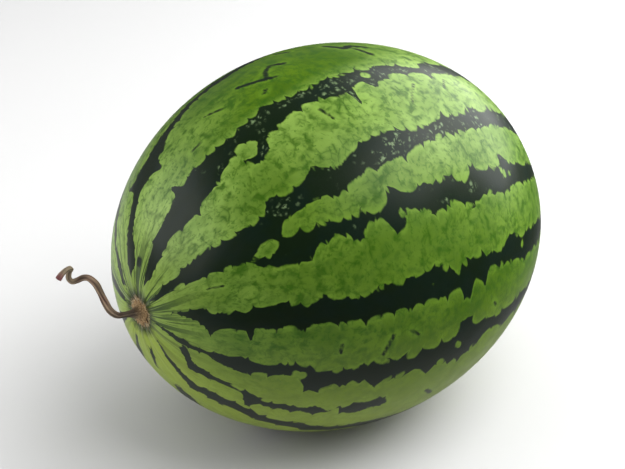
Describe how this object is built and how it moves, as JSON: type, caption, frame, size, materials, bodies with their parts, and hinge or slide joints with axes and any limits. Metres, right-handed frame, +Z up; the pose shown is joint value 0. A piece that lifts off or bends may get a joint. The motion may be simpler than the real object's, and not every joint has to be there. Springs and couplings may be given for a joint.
{
  "type": "watermelon",
  "caption": "Whole striped oval watermelon lying on its side on a small flat spot, with its dried curled stalk still attached.",
  "frame": {"origin": "middle of the flat spot on the underside that the fruit rests on", "axes": "+Z up out of the surface it rests on; X along the fruit's long axis, with the stalk end towards -X and the blossom end towards +X"},
  "size_m": [0.342, 0.25, 0.247],
  "materials": {
    "rind": "smooth waxy rind, semi-gloss, light green with jagged near-black green stripes",
    "dried_stalk": "dry, woody, ridged lengthwise, matt"
  },
  "bodies": {
    "root": {"melon": "rind", "stalk": "dried_stalk"}
  },
  "joints": []
}
